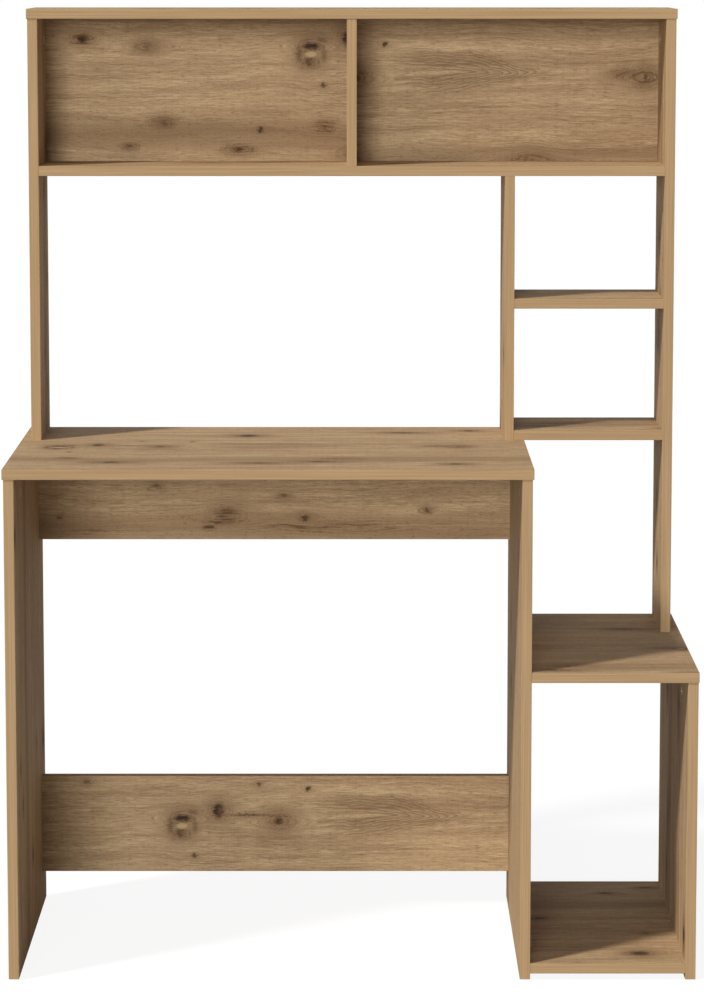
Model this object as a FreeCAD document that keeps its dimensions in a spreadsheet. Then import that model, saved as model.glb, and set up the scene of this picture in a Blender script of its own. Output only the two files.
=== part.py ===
# Computer desk with a hutch and a low tower on its right.
# It is made of laminated chipboard panels with plastic edge band, which cam
# connectors, wood dowels and screws hold together. Sizes are in millimetres.
# X runs to the right, Y to the back and Z up from the floor.
import FreeCAD, Part
import os
import types

doc = FreeCAD.newDocument("computer_desk")


# Driving dimensions
dimensions = [
    ("overall_width", "1000", "left end of the desktop to right end of the tower top"),
    ("overall_depth", "450", "front edge of the desktop to the back of the hutch"),
    ("overall_height", "1400", "floor to the upper face of the hutch top"),
    ("board_thickness", "15", "every panel, shelf and rail"),
    ("band_thickness", "0.8", "plastic band on the visible edges"),
    ("band_arris", "0.5", "bevel scraped along the outer corners of the band"),
    ("tower_bay_width", "225", "clear width of the tower, for a computer case"),
    ("desktop_height", "750", "floor to the upper face of the desktop"),
    ("desktop_overhang", "2", "desktop past the panels, at both ends and the front"),
    ("tower_height", "455", "floor to the upper face of the tower top"),
    ("tower_overhang", "1", "tower top past the tower side panel"),
    ("floor_shelf_height", "10.5", "floor to the lower face of the tower floor shelf"),
    ("rail_width", "152", "height of the apron rail and of the lower rail"),
    ("lower_rail_height", "58", "floor to the lower edge of the lower rail"),
    ("rail_setback", "45", "back of the rails in from the back edge"),
    ("hutch_depth", "150", "front edge to back edge of the hutch top"),
    ("hutch_inset", "15", "hutch uprights in from each end of the desk"),
    ("hutch_overhang", "1.5", "hutch top past the uprights, at both ends and the front"),
    ("cubby_height", "220", "clear height of the two upper compartments"),
    ("column_setback", "16", "column divider in from the right end of the desktop"),
    ("glide_height", "2", "floor to the lower edge of the panels"),
    ("glide_diameter", "12", "foot of a glide"),
    ("glide_pin_diameter", "6", "pin of a glide, pushed into the panel"),
    ("glide_pin_length", "10", "pin of a glide"),
    ("glide_inset", "40", "glides in from the front and back of a panel"),
    ("cam_diameter", "15", "drilling for a cam lock"),
    ("cam_floor", "3", "chipboard left under a cam lock"),
    ("cam_reach", "34", "end of a board to the middle of its cam lock"),
    ("cam_pocket", "7.4", "width of the chamber in a cam lock that holds the bolt's head"),
    ("driver_slot_length", "9", "screwdriver slot in a cam lock"),
    ("driver_slot_width", "1.4", "screwdriver slot in a cam lock"),
    ("driver_slot_depth", "1.6", "screwdriver slot in a cam lock"),
    ("bolt_bore", "7", "drilling in a board's end for a cam bolt"),
    ("bolt_diameter", "6", "shank and head of a cam bolt"),
    ("bolt_head_length", "2.4", "head of a cam bolt, held in its cam lock"),
    ("bolt_neck_diameter", "3.6", "neck of a cam bolt, behind its head"),
    ("bolt_thread", "5", "drilling in a board's face for a cam bolt's thread"),
    ("dowel_diameter", "8", "drilling for a wood dowel"),
    ("dowel_end_depth", "20", "drilling for a wood dowel in a board's end"),
    ("hole_floor", "4", "chipboard left under a hole drilled in a face"),
    ("screw_diameter", "4", "shank of a hutch screw"),
    ("screw_length", "38", "shank of a hutch screw"),
    ("screw_head_diameter", "8", "pan head of a hutch screw"),
    ("screw_head_height", "2.2", "pan head of a hutch screw"),
    ("screw_inset", "24", "hutch screws in from the front and back of an upright"),
    ("deep_cam_inset", "100", "cam locks in from the edges of a deep board"),
    ("narrow_inset", "38", "fittings in from the edges of a rail or hutch board"),
    ("back_board_inset", "56", "fittings in from the edges of a hutch back board"),
    ("fitting_pitch", "32", "step between two fittings that meet in one board"),
    ("fit_clearance", "0.1", "round a dowel, bolt, screw, pin or cam lock in its hole"),
    ("end_clearance", "0.5", "past the end of a dowel, bolt, screw or pin in its hole"),
]
sheet = doc.addObject("Spreadsheet::Sheet", "sizes")
for row, (alias, amount, meaning) in enumerate(dimensions, start=1):
    sheet.set(f"A{row}", meaning)
    sheet.set(f"B{row}", amount)
    sheet.setAlias(f"B{row}", alias)
doc.recompute()


class Length:
    """A size or a place: its value, and the formula in the sheet's names that gives it."""

    def __init__(self, value, formula):
        self.value = value
        self.formula = formula

    def __add__(self, other):
        return Length(self.value + other.value, f"({self.formula} + {other.formula})")

    def __sub__(self, other):
        return Length(self.value - other.value, f"({self.formula} - {other.formula})")

    def __neg__(self):
        return Length(-self.value, f"(-{self.formula})")

    def __mul__(self, count):
        return Length(self.value * count, f"({self.formula} * {count})")

    def __truediv__(self, count):
        return Length(self.value / count, f"({self.formula} / {count})")


size = types.SimpleNamespace(**{
    alias: Length(float(sheet.get(alias)), f"sizes.{alias}") for alias, amount, meaning in dimensions
})
zero = Length(0, "0")


def bind(item, **lengths):
    """Set properties of an object from lengths, with their formulas."""
    for name, length in lengths.items():
        item.setExpression(name, length.formula)


def bind_place(item, x, y, z):
    """Put an object at a point, with the formulas of the point."""
    for letter, length in (("x", x), ("y", y), ("z", z)):
        item.setExpression(f"Placement.Base.{letter}", length.formula)


# Round holes and fittings have this many sides, small ones fewer. Both are multiples of
# four, so all that lie along X, Y or Z are turned alike, and a dowel fits its hole.
round_sides = 12
small_round_sides = 8

unit = {"x": FreeCAD.Vector(1, 0, 0), "y": FreeCAD.Vector(0, 1, 0), "z": FreeCAD.Vector(0, 0, 1)}


def add_box(name, length, width, height, corner=(zero, zero, zero)):
    """A block, from its low corner."""
    item = doc.addObject("Part::Box", name)
    bind(item, Length=length, Width=width, Height=height)
    bind_place(item, *corner)
    return item


def add_rod(name, diameter, length, foot=(zero, zero, zero), direction=unit["z"],
            side_count=small_round_sides):
    """A round rod or the tool for a round hole, from its foot along a direction."""
    item = doc.addObject("Part::Prism", name)
    item.Polygon = side_count
    item.Placement = FreeCAD.Placement(FreeCAD.Vector(0, 0, 0), FreeCAD.Rotation(unit["z"], direction))
    bind(item, Circumradius=diameter / 2, Height=length)
    bind_place(item, *foot)
    return item


def add_group(name, members):
    """Objects that stay separate solids in one shape."""
    item = doc.addObject("Part::Compound", name)
    item.Links = members
    return item


def add_cut(name, base, tools):
    """A base less its tools. The volume has to drop, because a tool that misses cuts nothing."""
    item = doc.addObject("Part::Cut", name)
    item.Base = base
    item.Tool = add_group(f"{name}_tools", tools)
    doc.recompute()
    if item.Shape.Volume >= base.Shape.Volume:
        raise RuntimeError(f"{name} cuts nothing")
    return item


def add_fuse(name, *members):
    """Shapes made one solid."""
    item = doc.addObject("Part::MultiFuse", name)
    item.Shapes = members
    return item


def add_strip(name, ends, outer, corners):
    """A strip of edge band between three pairs of planes, bevelled where its outer face turns a corner."""
    body = doc.addObject("PartDesign::Body", name)
    block = body.newObject("PartDesign::AdditiveBox", f"{name}_block")
    length, width, height = (ends[axis][1] - ends[axis][0] for axis in "xyz")
    bind(block, Length=length, Width=width, Height=height)
    bind_place(body, *(ends[axis][0] for axis in "xyz"))
    doc.recompute()
    middle = block.Shape.CenterOfMass
    bevelled = []
    for number, edge in enumerate(block.Shape.Edges, start=1):
        along = edge.tangentAt(edge.FirstParameter)
        off = edge.CenterOfMass - middle
        meets = {(axis, int(off.dot(unit[axis]) > 0)) for axis in "xyz" if not round(along.dot(unit[axis]))}
        if outer in meets and meets.intersection(corners):
            bevelled.append(f"Edge{number}")
    bevel = body.newObject("PartDesign::Chamfer", f"{name}_bevel")
    bevel.Base = (block, bevelled)
    bind(bevel, Size=size.band_arris)
    return body


# Sides of a board: the axis each faces along, and whether it is the low or high end of that axis
sides = {
    "left": ("x", 0), "right": ("x", 1),
    "front": ("y", 0), "back": ("y", 1),
    "bottom": ("z", 0), "top": ("z", 1),
}
opposite = {
    "left": "right", "right": "left",
    "front": "back", "back": "front",
    "bottom": "top", "top": "bottom",
}

# How a board lies: the axes across its width and through its thickness
lies = {"flat": ("y", "z"), "upright": ("y", "x"), "on_edge": ("z", "y")}


def outward(side):
    """The direction in which a side faces."""
    axis, is_high = sides[side]
    return unit[axis] if is_high else -unit[axis]


class Board:
    """A chipboard panel between three pairs of planes, with bands on some edges and drilled holes."""

    def __init__(self, name, lie, x, y, z, banded=()):
        self.name = name
        self.across, self.through = lies[lie]
        self.box = {"x": x, "y": y, "z": z}
        self.core = {axis: list(ends) for axis, ends in self.box.items()}
        for side in banded:
            axis, is_high = sides[side]
            inward = -size.band_thickness if is_high else size.band_thickness
            self.core[axis][is_high] = self.core[axis][is_high] + inward
        self.banded = banded
        self.bores = []
        self.seats = []
        boards.append(self)

    def middle(self, axis):
        return (self.box[axis][0] + self.box[axis][1]) / 2

    def drill(self, side, point, diameter, depth, is_seat=False):
        """Note a hole into one side of the board, a seat being one that a bore may meet."""
        foot = tuple(point[axis] - self.core[axis][0] for axis in "xyz")
        holes = self.seats if is_seat else self.bores
        side_count = round_sides if is_seat else small_round_sides
        holes.append(add_rod(f"{self.name}_hole", diameter, depth, foot, -outward(side), side_count))

    def build(self):
        """The panel in its own frame, less its holes, put in its place by its low corner."""
        length, width, height = (self.core[axis][1] - self.core[axis][0] for axis in "xyz")
        item = add_box(f"{self.name}_blank", length, width, height)
        if self.seats:
            item = add_cut(f"{self.name}_seated", item, self.seats)
        item = add_cut(self.name, item, self.bores)
        item.Label = self.name
        bind_place(item, *(self.core[axis][0] for axis in "xyz"))
        return item

    def build_bands(self):
        """The strips of edge band. Front and back strips run right through, the others between them."""
        strips = []
        for side in self.banded:
            axis, is_high = sides[side]
            ends = dict(self.box)
            if axis != "y":
                ends["y"] = self.core["y"]
            if is_high:
                ends[axis] = (self.core[axis][1], self.box[axis][1])
            else:
                ends[axis] = (self.box[axis][0], self.core[axis][0])
            corners = [(self.through, 0), (self.through, 1)]
            corners += [sides[other] for other in self.banded if sides[other][0] != axis == "y"]
            strips.append(add_strip(f"{self.name}_{side}_band", ends, (axis, is_high), corners))
        group = add_group(f"{self.name}_edge_band", strips)
        group.Label = f"{self.name}_edge_band"
        return group


boards = []
board = size.board_thickness

# Planes that the boards share
left_end = -size.overall_width / 2
right_end = size.overall_width / 2
front = -size.overall_depth / 2
back = size.overall_depth / 2
panel_front = front + size.desktop_overhang
desktop_under = size.desktop_height - board
tower_under = size.tower_height - board
left_panel_x = (left_end + size.desktop_overhang, left_end + size.desktop_overhang + board)
tower_panel_x = (right_end - size.tower_overhang - board, right_end - size.tower_overhang)
middle_panel_right = tower_panel_x[0] - size.tower_bay_width
middle_panel_x = (middle_panel_right - board, middle_panel_right)
desktop_right = middle_panel_right + size.desktop_overhang
rail_y = (back - size.rail_setback - board, back - size.rail_setback)
left_upright_x = (left_end + size.hutch_inset, left_end + size.hutch_inset + board)
right_upright_x = (right_end - size.hutch_inset - board, right_end - size.hutch_inset)
column_x = (desktop_right - size.column_setback - board, desktop_right - size.column_setback)
centre = (left_upright_x[1] + right_upright_x[0]) / 2
centre_x = (centre - board / 2, centre + board / 2)
hutch_y = (back - size.hutch_depth + size.hutch_overhang, back)
back_board_y = (back - board, back)
hutch_under = size.overall_height - board
hutch_shelf_z = (hutch_under - size.cubby_height - board, hutch_under - size.cubby_height)
cubby_z = (hutch_shelf_z[1], hutch_under)
lower_shelf_z = (size.desktop_height, size.desktop_height + board)
upper_shelf_low = (lower_shelf_z[1] + hutch_shelf_z[0] - board) / 2
upper_shelf_z = (upper_shelf_low, upper_shelf_low + board)

# Desk: two tall panels, the desktop over them and two rails between them
desktop = Board(
    "desktop", "flat", (left_end, desktop_right), (front, back), (desktop_under, size.desktop_height),
    banded=("left", "right", "front", "back"))
left_side_panel = Board(
    "left_side_panel", "upright", left_panel_x, (panel_front, back), (size.glide_height, desktop_under),
    banded=("front", "back"))
middle_panel = Board(
    "middle_panel", "upright", middle_panel_x, (panel_front, back), (size.glide_height, desktop_under),
    banded=("front", "back"))
apron_rail = Board(
    "apron_rail", "on_edge", (left_panel_x[1], middle_panel_x[0]), rail_y,
    (desktop_under - size.rail_width, desktop_under), banded=("bottom",))
lower_rail = Board(
    "lower_rail", "on_edge", (left_panel_x[1], middle_panel_x[0]), rail_y,
    (size.lower_rail_height, size.lower_rail_height + size.rail_width), banded=("bottom", "top"))

# Tower: a low panel, a floor shelf for the computer and a top
tower_side_panel = Board(
    "tower_side_panel", "upright", tower_panel_x, (panel_front, back), (size.glide_height, tower_under),
    banded=("front", "back"))
tower_top = Board(
    "tower_top", "flat", (middle_panel_x[1], right_end), (front, back), (tower_under, size.tower_height),
    banded=("right", "front", "back"))
tower_floor_shelf = Board(
    "tower_floor_shelf", "flat", (middle_panel_x[1], tower_panel_x[0]), (panel_front, back),
    (size.floor_shelf_height, size.floor_shelf_height + board), banded=("front", "back"))

# Hutch: uprights, a top, a long shelf with two compartments over it and a column of shelves
hutch_left_upright = Board(
    "hutch_left_upright", "upright", left_upright_x, hutch_y, (size.desktop_height, hutch_under),
    banded=("front", "back"))
hutch_right_upright = Board(
    "hutch_right_upright", "upright", right_upright_x, hutch_y, (size.tower_height, hutch_under),
    banded=("front", "back"))
hutch_column_divider = Board(
    "hutch_column_divider", "upright", column_x, hutch_y, (size.desktop_height, hutch_shelf_z[0]),
    banded=("front", "back"))
hutch_top = Board(
    "hutch_top", "flat",
    (left_upright_x[0] - size.hutch_overhang, right_upright_x[1] + size.hutch_overhang),
    (hutch_y[0] - size.hutch_overhang, back), (hutch_under, size.overall_height),
    banded=("left", "right", "front", "back"))
hutch_shelf = Board(
    "hutch_shelf", "flat", (left_upright_x[1], right_upright_x[0]), hutch_y, hutch_shelf_z,
    banded=("front", "back"))
hutch_centre_divider = Board(
    "hutch_centre_divider", "upright", centre_x, hutch_y, cubby_z,
    banded=("front", "back"))
column_upper_shelf = Board(
    "column_upper_shelf", "flat", (column_x[1], right_upright_x[0]), hutch_y, upper_shelf_z,
    banded=("front", "back"))
column_lower_shelf = Board(
    "column_lower_shelf", "flat", (column_x[1], right_upright_x[0]), hutch_y, lower_shelf_z,
    banded=("front", "back"))
left_back_board = Board(
    "left_back_board", "on_edge", (left_upright_x[1], centre_x[0]), back_board_y, cubby_z)
right_back_board = Board(
    "right_back_board", "on_edge", (centre_x[1], right_upright_x[0]), back_board_y, cubby_z)


# Fittings, noted here as places and directions while the holes for them are drilled
cam_depth = board - size.cam_floor
face_hole_depth = board - size.hole_floor
bolt_thread_length = face_hole_depth - size.end_clearance
dowel_face_length = face_hole_depth - size.end_clearance
dowel_end_length = size.dowel_end_depth - size.end_clearance
screw_pilot_depth = size.screw_length - board + size.end_clearance
places = {}


def note(kind, point, rotation):
    """Note where a fitting goes and how it is turned."""
    places.setdefault(kind, []).append((point, rotation))


def join_end(end_board, side, face_board, group, dowels, cams=(), cam_side=None):
    """Join one board's end to another's face, by dowels and cam connectors at places across the end."""
    end_axis, is_high = sides[side]
    facing = outward(side)
    along_end = FreeCAD.Rotation(unit["z"], facing)
    face_side = opposite[side]
    through = end_board.through
    point = {end_axis: end_board.box[end_axis][is_high], through: end_board.middle(through)}
    for place in dowels:
        point[end_board.across] = place
        end_board.drill(side, point, size.dowel_diameter, size.dowel_end_depth)
        face_board.drill(face_side, point, size.dowel_diameter, face_hole_depth)
        note(f"{group}_dowels", dict(point), along_end)
    for place in cams:
        point[end_board.across] = place
        end_board.drill(side, point, size.bolt_bore, size.cam_reach)
        face_board.drill(face_side, point, size.bolt_thread, face_hole_depth)
        note(f"{group}_cam_bolts", dict(point), along_end)
        cam_axis, cam_is_high = sides[cam_side]
        reach = -size.cam_reach if is_high else size.cam_reach
        face_point = dict(point)
        face_point[end_axis] = point[end_axis] + reach
        face_point[cam_axis] = end_board.box[cam_axis][cam_is_high]
        end_board.drill(cam_side, face_point, size.cam_diameter, cam_depth, is_seat=True)
        up = outward(cam_side)
        seat = dict(face_point)
        seat[cam_axis] = face_point[cam_axis] + (-cam_depth if cam_is_high else cam_depth)
        note(f"{group}_cam_locks", seat, FreeCAD.Rotation(facing, up.cross(facing), up, "XYZ"))


def screw_down(upright, base):
    """Screw an upright to the board it stands on, from below."""
    for place in (upright.box["y"][0] + size.screw_inset, upright.box["y"][1] - size.screw_inset):
        foot = {"x": upright.middle("x"), "y": place, "z": upright.box["z"][0]}
        head = dict(foot, z=base.box["z"][0])
        clear = size.screw_diameter + size.fit_clearance * 2
        upright.drill("bottom", foot, clear, screw_pilot_depth)
        base.drill("bottom", head, clear, board)
        note("hutch_screws", head, FreeCAD.Rotation())


def both_edges(board_piece, inset):
    """Places one inset in from both long edges of a board."""
    low, high = board_piece.box[board_piece.across]
    return [low + inset, high - inset]


# Joints of the desk and the tower
for end_board, side, face_board, cam_side in (
        (left_side_panel, "top", desktop, "right"),
        (middle_panel, "top", desktop, "left"),
        (tower_side_panel, "top", tower_top, "left"),
        (tower_top, "left", middle_panel, "bottom"),
        (tower_floor_shelf, "left", middle_panel, "bottom"),
        (tower_floor_shelf, "right", tower_side_panel, "bottom")):
    join_end(end_board, side, face_board, "desk",
             [end_board.middle("y")], both_edges(end_board, size.deep_cam_inset), cam_side)
for rail in (apron_rail, lower_rail):
    low_place, high_place = both_edges(rail, size.narrow_inset)
    for side, panel in (("left", left_side_panel), ("right", middle_panel)):
        join_end(rail, side, panel, "rail", [high_place], [low_place], "back")

# Joints of the hutch
for upright, cam_side in ((hutch_left_upright, "right"), (hutch_right_upright, "left")):
    front_place, back_place = both_edges(upright, size.narrow_inset)
    join_end(upright, "top", hutch_top, "hutch", [front_place], [back_place], cam_side)
for shelf, left_piece in (
        (hutch_shelf, hutch_left_upright), (column_upper_shelf, hutch_column_divider),
        (column_lower_shelf, hutch_column_divider)):
    front_place, back_place = both_edges(shelf, size.narrow_inset)
    join_end(shelf, "left", left_piece, "hutch", [front_place], [back_place], "bottom")
    join_end(shelf, "right", hutch_right_upright, "hutch", [front_place], [back_place], "bottom")
front_place, back_place = both_edges(hutch_column_divider, size.narrow_inset)
join_end(hutch_column_divider, "top", hutch_shelf, "hutch", [front_place], [back_place], "right")
for side, board_met in (("bottom", hutch_shelf), ("top", hutch_top)):
    join_end(hutch_centre_divider, side, board_met, "hutch",
             both_edges(hutch_centre_divider, size.narrow_inset))
low_place, high_place = both_edges(left_back_board, size.back_board_inset)
join_end(left_back_board, "left", hutch_left_upright, "hutch", [high_place], [low_place], "back")
join_end(right_back_board, "right", hutch_right_upright, "hutch", [high_place], [low_place], "back")
join_end(left_back_board, "right", hutch_centre_divider, "hutch", [low_place, high_place])
join_end(right_back_board, "left", hutch_centre_divider, "hutch",
         [low_place + size.fitting_pitch, high_place - size.fitting_pitch])
for upright, base in (
        (hutch_left_upright, desktop), (hutch_column_divider, desktop), (hutch_right_upright, tower_top)):
    screw_down(upright, base)

# Glides under the three panels that stand on the floor
for panel in (left_side_panel, middle_panel, tower_side_panel):
    for place in both_edges(panel, size.glide_inset):
        foot = {"x": panel.middle("x"), "y": place, "z": panel.box["z"][0]}
        panel.drill("bottom", foot, size.glide_pin_diameter + size.fit_clearance * 2,
                    size.glide_pin_length + size.end_clearance)
        note("floor_glides", foot, FreeCAD.Rotation())


# One of each fitting, in its own frame, with its axis along Z
def make_cam_lock():
    """A cast drum on the floor of its hole, with its bolt towards +X and its mouth towards +Z.
    The bolt's head went in through the window at +Y, and a quarter turn has drawn it against
    the wall of the chamber, its neck in the slot between the two."""
    height = cam_depth - size.fit_clearance
    drum = add_rod("cam_drum", size.cam_diameter - size.fit_clearance * 2, height, side_count=round_sides)
    bolt_level = cam_depth - board / 2
    window_size = size.bolt_diameter + size.end_clearance
    slot_size = size.bolt_neck_diameter + size.end_clearance
    chamber = add_box("cam_chamber", size.cam_pocket, size.cam_pocket, window_size,
                      (-size.cam_pocket / 2, -size.cam_pocket / 2, bolt_level - window_size / 2))
    window = add_box("cam_window", window_size, size.cam_diameter, window_size,
                     (-window_size / 2, zero, bolt_level - window_size / 2))
    neck_slot = add_box("cam_neck_slot", size.cam_diameter, size.cam_diameter, slot_size,
                        (-slot_size / 2, -slot_size / 2, bolt_level - slot_size / 2))
    slot = add_box("cam_driver_slot", size.driver_slot_width, size.driver_slot_length, size.driver_slot_depth,
                   (-size.driver_slot_width / 2, -size.driver_slot_length / 2,
                    height - size.driver_slot_depth))
    return add_cut("cam_lock", drum, [chamber, window, neck_slot, slot])


def make_cam_bolt():
    """A steel bolt. Its thread is in one board's face, down to the shoulder of its shank, which
    runs back through the other board's end to a neck and a head in the cam lock."""
    head_end = size.cam_pocket / 2 - size.fit_clearance - size.cam_reach
    head_start = head_end - size.bolt_head_length
    neck_end = size.cam_diameter / 2 - size.cam_reach
    thread = add_rod("bolt_thread", size.bolt_thread - size.fit_clearance * 2, bolt_thread_length)
    shank = add_rod("bolt_shank", size.bolt_diameter, -neck_end, (zero, zero, neck_end))
    neck = add_rod("bolt_neck", size.bolt_neck_diameter, neck_end - head_end, (zero, zero, head_end))
    head = add_rod("bolt_head", size.bolt_diameter, size.bolt_head_length, (zero, zero, head_start))
    return add_fuse("cam_bolt", thread, shank, neck, head)


def make_dowel():
    """A beech dowel, most of it in one board's end and the rest in the other's face."""
    diameter = size.dowel_diameter - size.fit_clearance * 2
    return add_rod("dowel", diameter, dowel_end_length + dowel_face_length, (zero, zero, -dowel_end_length))


def make_screw():
    """A pan head screw, its head under the lower board and its shank up into the upright."""
    shank = add_rod("screw_shank", size.screw_diameter, size.screw_length)
    head = add_rod("screw_head", size.screw_head_diameter, size.screw_head_height,
                   (zero, zero, -size.screw_head_height))
    return add_fuse("screw", head, shank)


def make_glide():
    """A plastic glide: a round foot under the panel and a pin pushed up into it."""
    foot = add_rod("glide_foot", size.glide_diameter, size.glide_height,
                   (zero, zero, -size.glide_height), side_count=round_sides)
    pin = add_rod("glide_pin", size.glide_pin_diameter, size.glide_pin_length)
    return add_fuse("glide", foot, pin)


fittings = {
    "cam_locks": make_cam_lock(), "cam_bolts": make_cam_bolt(), "dowels": make_dowel(),
    "screws": make_screw(), "glides": make_glide(),
}


def build_fittings(name, kind):
    """All the fittings of one kind in one part of the desk, as separate solids in one node."""
    copies = []
    for point, rotation in places[name]:
        copy = doc.addObject("App::Link", f"{name}_link")
        copy.LinkedObject = fittings[kind]
        copy.LinkTransform = True
        copy.Placement = FreeCAD.Placement(FreeCAD.Vector(0, 0, 0), rotation)
        bind_place(copy, point["x"], point["y"], point["z"])
        copies.append(copy)
    group = add_group(name, copies)
    group.Label = name
    return group


# Build everything and write one file for each node
nodes = []
for piece in boards:
    nodes.append(piece.build())
    if piece.banded:
        nodes.append(piece.build_bands())
for name in places:
    kind = next(kind for kind in fittings if name.endswith(kind))
    nodes.append(build_fittings(name, kind))
doc.recompute()

for item in doc.Objects:
    if "Invalid" in item.State or "Error" in item.State:
        raise RuntimeError(f"{item.Label} did not recompute")
os.makedirs("parts", exist_ok=True)
for node in nodes:
    if node.Shape.isNull() or not node.Shape.isValid():
        raise RuntimeError(f"{node.Label} has no valid shape")
    node.Shape.exportStep(f"parts/{node.Label}.step")
print(f"{len(nodes)} nodes, {sum(len(node.Shape.Solids) for node in nodes)} solids")
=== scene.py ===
# A computer desk with a hutch and a low tower, in the look of the oak-print board it is made of.
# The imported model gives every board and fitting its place. Lengths are in metres, X runs to the
# right, Y to the back and Z up from the floor. The sizes of the oak print alone are in millimetres.
import math

import bmesh
import bpy
from mathutils import Matrix, Vector


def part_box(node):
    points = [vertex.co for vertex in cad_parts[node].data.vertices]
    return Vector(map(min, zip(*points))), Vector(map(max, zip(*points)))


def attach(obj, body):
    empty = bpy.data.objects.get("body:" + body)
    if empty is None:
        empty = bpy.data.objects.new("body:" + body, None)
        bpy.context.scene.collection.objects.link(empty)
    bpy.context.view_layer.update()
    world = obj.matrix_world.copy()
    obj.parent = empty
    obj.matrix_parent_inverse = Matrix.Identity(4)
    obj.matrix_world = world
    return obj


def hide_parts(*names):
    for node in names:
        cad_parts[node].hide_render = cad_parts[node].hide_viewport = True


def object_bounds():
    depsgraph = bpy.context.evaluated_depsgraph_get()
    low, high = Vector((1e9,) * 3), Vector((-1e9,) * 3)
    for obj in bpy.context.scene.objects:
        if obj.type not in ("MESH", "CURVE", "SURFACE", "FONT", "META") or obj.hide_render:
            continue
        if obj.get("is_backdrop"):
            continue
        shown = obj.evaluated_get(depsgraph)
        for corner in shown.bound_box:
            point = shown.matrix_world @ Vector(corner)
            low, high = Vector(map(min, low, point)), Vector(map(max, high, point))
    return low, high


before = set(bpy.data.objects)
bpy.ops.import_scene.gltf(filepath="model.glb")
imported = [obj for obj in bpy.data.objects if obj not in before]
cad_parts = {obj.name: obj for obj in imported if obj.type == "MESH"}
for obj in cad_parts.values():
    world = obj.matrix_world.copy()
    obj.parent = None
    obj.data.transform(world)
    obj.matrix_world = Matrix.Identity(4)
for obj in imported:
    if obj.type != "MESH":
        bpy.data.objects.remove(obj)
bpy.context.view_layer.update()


# The oak print. Every board is chipboard under melamine paper, and all the paper is printed from
# one picture of oak, 1 : 1, which the boards are cut from at different places. The picture lies
# in millimetres from its widest knot: x runs along the grain and y across it, down the sheet.
def tint(red, green, blue):
    """A colour given as it shows on a screen, in 0 to 255, as a shader needs it."""
    shares = (red / 255, green / 255, blue / 255)
    return (*(s / 12.92 if s <= 0.04045 else ((s + 0.055) / 1.055) ** 2.4 for s in shares), 1.0)


def feed(tree, socket, value):
    """Give an input a plain value, or link it to another node's output."""
    if isinstance(value, bpy.types.NodeSocket):
        tree.links.new(value, socket)
    else:
        socket.default_value = value


def add_node(tree, kind, inputs, **settings):
    """A node with its settings, and what goes into its inputs by their names or numbers."""
    made = tree.nodes.new(kind)
    for name, value in settings.items():
        setattr(made, name, value)
    for key, value in inputs.items():
        feed(tree, made.inputs[key], value)
    return made


def sum_of(tree, operation, *values):
    """The output of a Math node."""
    return add_node(tree, "ShaderNodeMath", dict(enumerate(values)), operation=operation).outputs[0]


def vector_of(tree, operation, *values, output="Vector"):
    """The output of a Vector Math node."""
    made = add_node(tree, "ShaderNodeVectorMath", dict(enumerate(values)), operation=operation)
    return made.outputs[output]


def noise_at(tree, along, across, detail=2.0, roughness=0.5):
    """Plain noise around zero, over two lengths, each given with the size of its grain."""
    x, y = (sum_of(tree, "DIVIDE", length, grain) for length, grain in (along, across))
    place = add_node(tree, "ShaderNodeCombineXYZ", {"X": x, "Y": y}).outputs[0]
    made = add_node(tree, "ShaderNodeTexNoise", {
        "Vector": place, "Scale": 1.0, "Detail": detail, "Roughness": roughness},
        noise_dimensions="2D")
    return sum_of(tree, "SUBTRACT", made.outputs["Fac"], 0.5)


def fade(tree, value, none, full, most=1.0):
    """A share that grows smoothly from none at one value to the most at another."""
    made = add_node(tree, "ShaderNodeMapRange", {
        "Value": value, "From Min": none, "From Max": full, "To Max": most},
        interpolation_type="SMOOTHSTEP")
    return made.outputs[0]


def blend_of(tree, share, first, second):
    """Two colours mixed by a share."""
    made = add_node(tree, "ShaderNodeMix", {0: share, 6: first, 7: second}, data_type="RGBA")
    return made.outputs[2]


def new_group(name, inputs, outputs):
    """An empty shader group with sockets given as (name, type, value), and its two end nodes."""
    tree = bpy.data.node_groups.new(name, "ShaderNodeTree")
    for label, kind, value in inputs:
        socket = tree.interface.new_socket(label, in_out="INPUT", socket_type=f"NodeSocket{kind}")
        socket.default_value = value
    for label, kind in outputs:
        tree.interface.new_socket(label, in_out="OUTPUT", socket_type=f"NodeSocket{kind}")
    return tree, tree.nodes.new("NodeGroupInput"), tree.nodes.new("NodeGroupOutput")


# A knot of the print: a dark core with a ragged edge and sometimes a pale heart, browner wood
# in rings round it, and the grain lines pushed apart on both sides.
knot_group, start, end = new_group(
    "oak_knot",
    [("Place", "Vector", (0, 0, 0)), ("Across", "Float", 0.0), ("Dark", "Float", 0.0),
     ("Brown", "Float", 0.0), ("Centre", "Vector", (0, 0, 0)), ("Size", "Vector", (1, 1, 1)),
     ("Depth", "Float", 1.0), ("Hollow", "Float", 0.0), ("Halo Size", "Vector", (1, 1, 1)),
     ("Halo", "Float", 0.5), ("Swell", "Float", 5.0), ("Reach", "Float", 20.0)],
    [("Across", "Float"), ("Dark", "Float"), ("Brown", "Float")])
from_centre = vector_of(knot_group, "SUBTRACT", start.outputs["Place"], start.outputs["Centre"])
oval = vector_of(knot_group, "DIVIDE", from_centre, start.outputs["Size"])
core_edge, core_full = 1.3, 0.35
core = fade(knot_group, vector_of(
    knot_group, "LENGTH", oval, output="Value"), core_edge, core_full)
heart_place, heart_edge, heart_full = (0.3, 0.05, 0), 0.7, 0.25
heart = fade(knot_group, vector_of(
    knot_group, "DISTANCE", oval, heart_place, output="Value"), heart_edge, heart_full)
left_dark = sum_of(knot_group, "SUBTRACT", 1.0, sum_of(
    knot_group, "MULTIPLY", heart, start.outputs["Hollow"]))
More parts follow.
